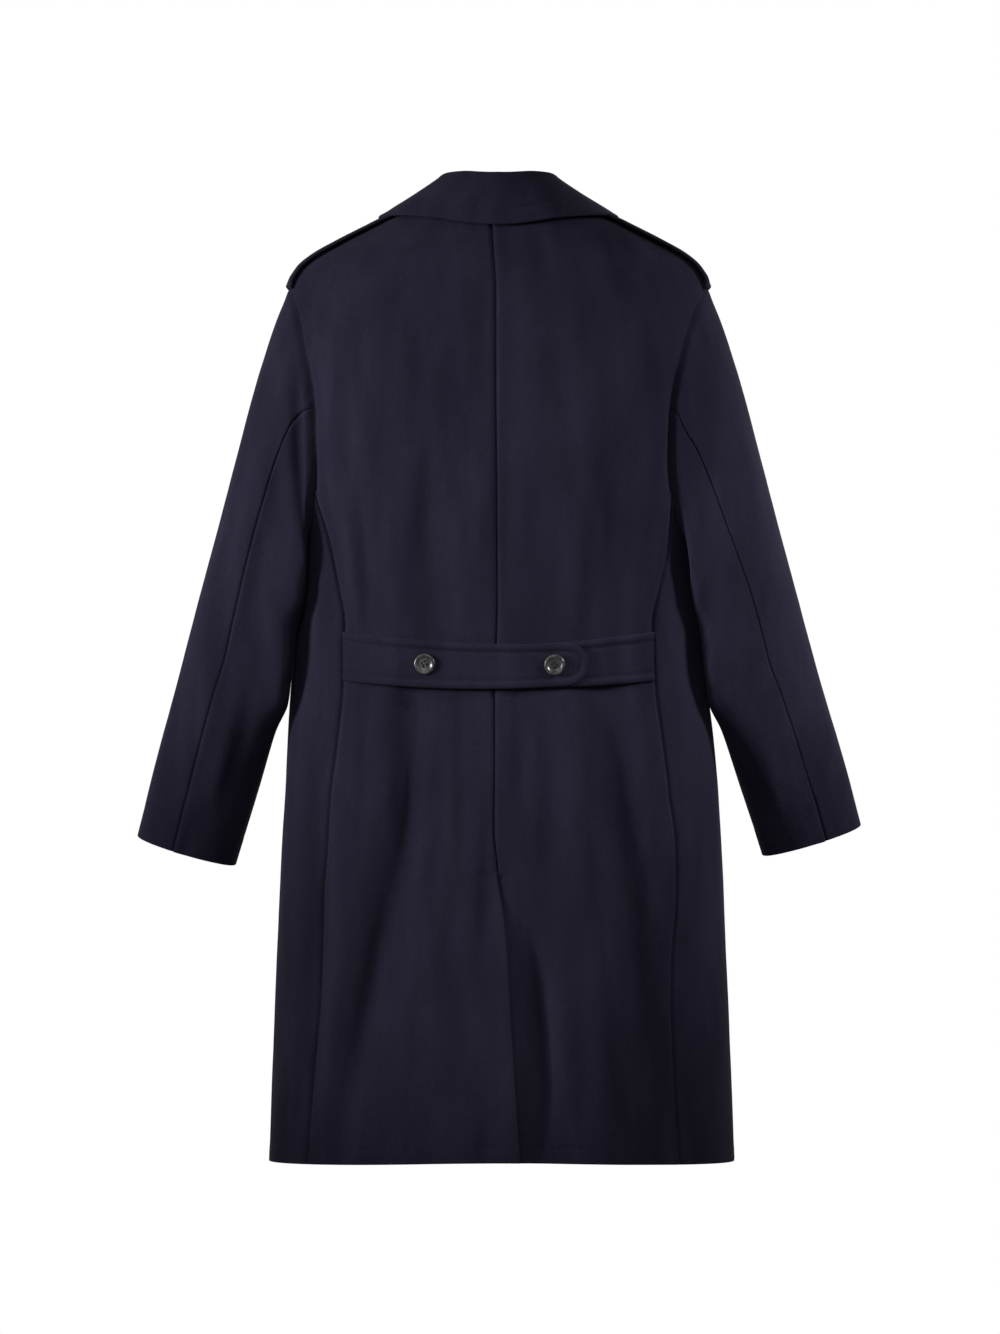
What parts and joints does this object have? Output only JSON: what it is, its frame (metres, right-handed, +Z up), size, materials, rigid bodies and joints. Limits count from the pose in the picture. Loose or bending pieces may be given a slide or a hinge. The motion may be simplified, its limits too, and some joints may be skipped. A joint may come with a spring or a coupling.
{
  "type": "double-breasted coat",
  "caption": "Dark navy wool double-breasted coat, worn form, with turned-down collar, shoulder straps, buttoned half belt and centre back vent.",
  "frame": {"origin": "midway between the neck ends of the two shoulder seams, where a wearer holds the coat up", "axes": "+Z up, +X towards the wearer's left, +Y towards the wearer's back"},
  "size_m": [0.7986, 0.3107, 1.0841],
  "materials": {
    "wool": "matte, short brushed nap",
    "horn_button": "satin"
  },
  "bodies": {
    "root": {"back_left": "wool", "back_right": "wool", "side_left": "wool", "side_right": "wool", "front_left": "wool", "front_right": "wool", "lapel_left": "wool", "lapel_right": "wool", "top_sleeve_left": "wool", "top_sleeve_right": "wool", "under_sleeve_left": "wool", "under_sleeve_right": "wool", "shoulder_strap_left": "wool", "shoulder_strap_right": "wool", "half_belt_left": "wool", "half_belt_right": "wool", "collar_stand": "wool", "collar_fall": "wool", "belt_button_1": "horn_button", "belt_button_2": "horn_button", "front_button_1": "horn_button", "front_button_2": "horn_button", "front_button_3": "horn_button", "front_button_4": "horn_button", "front_button_5": "horn_button", "front_button_6": "horn_button"}
  },
  "joints": []
}
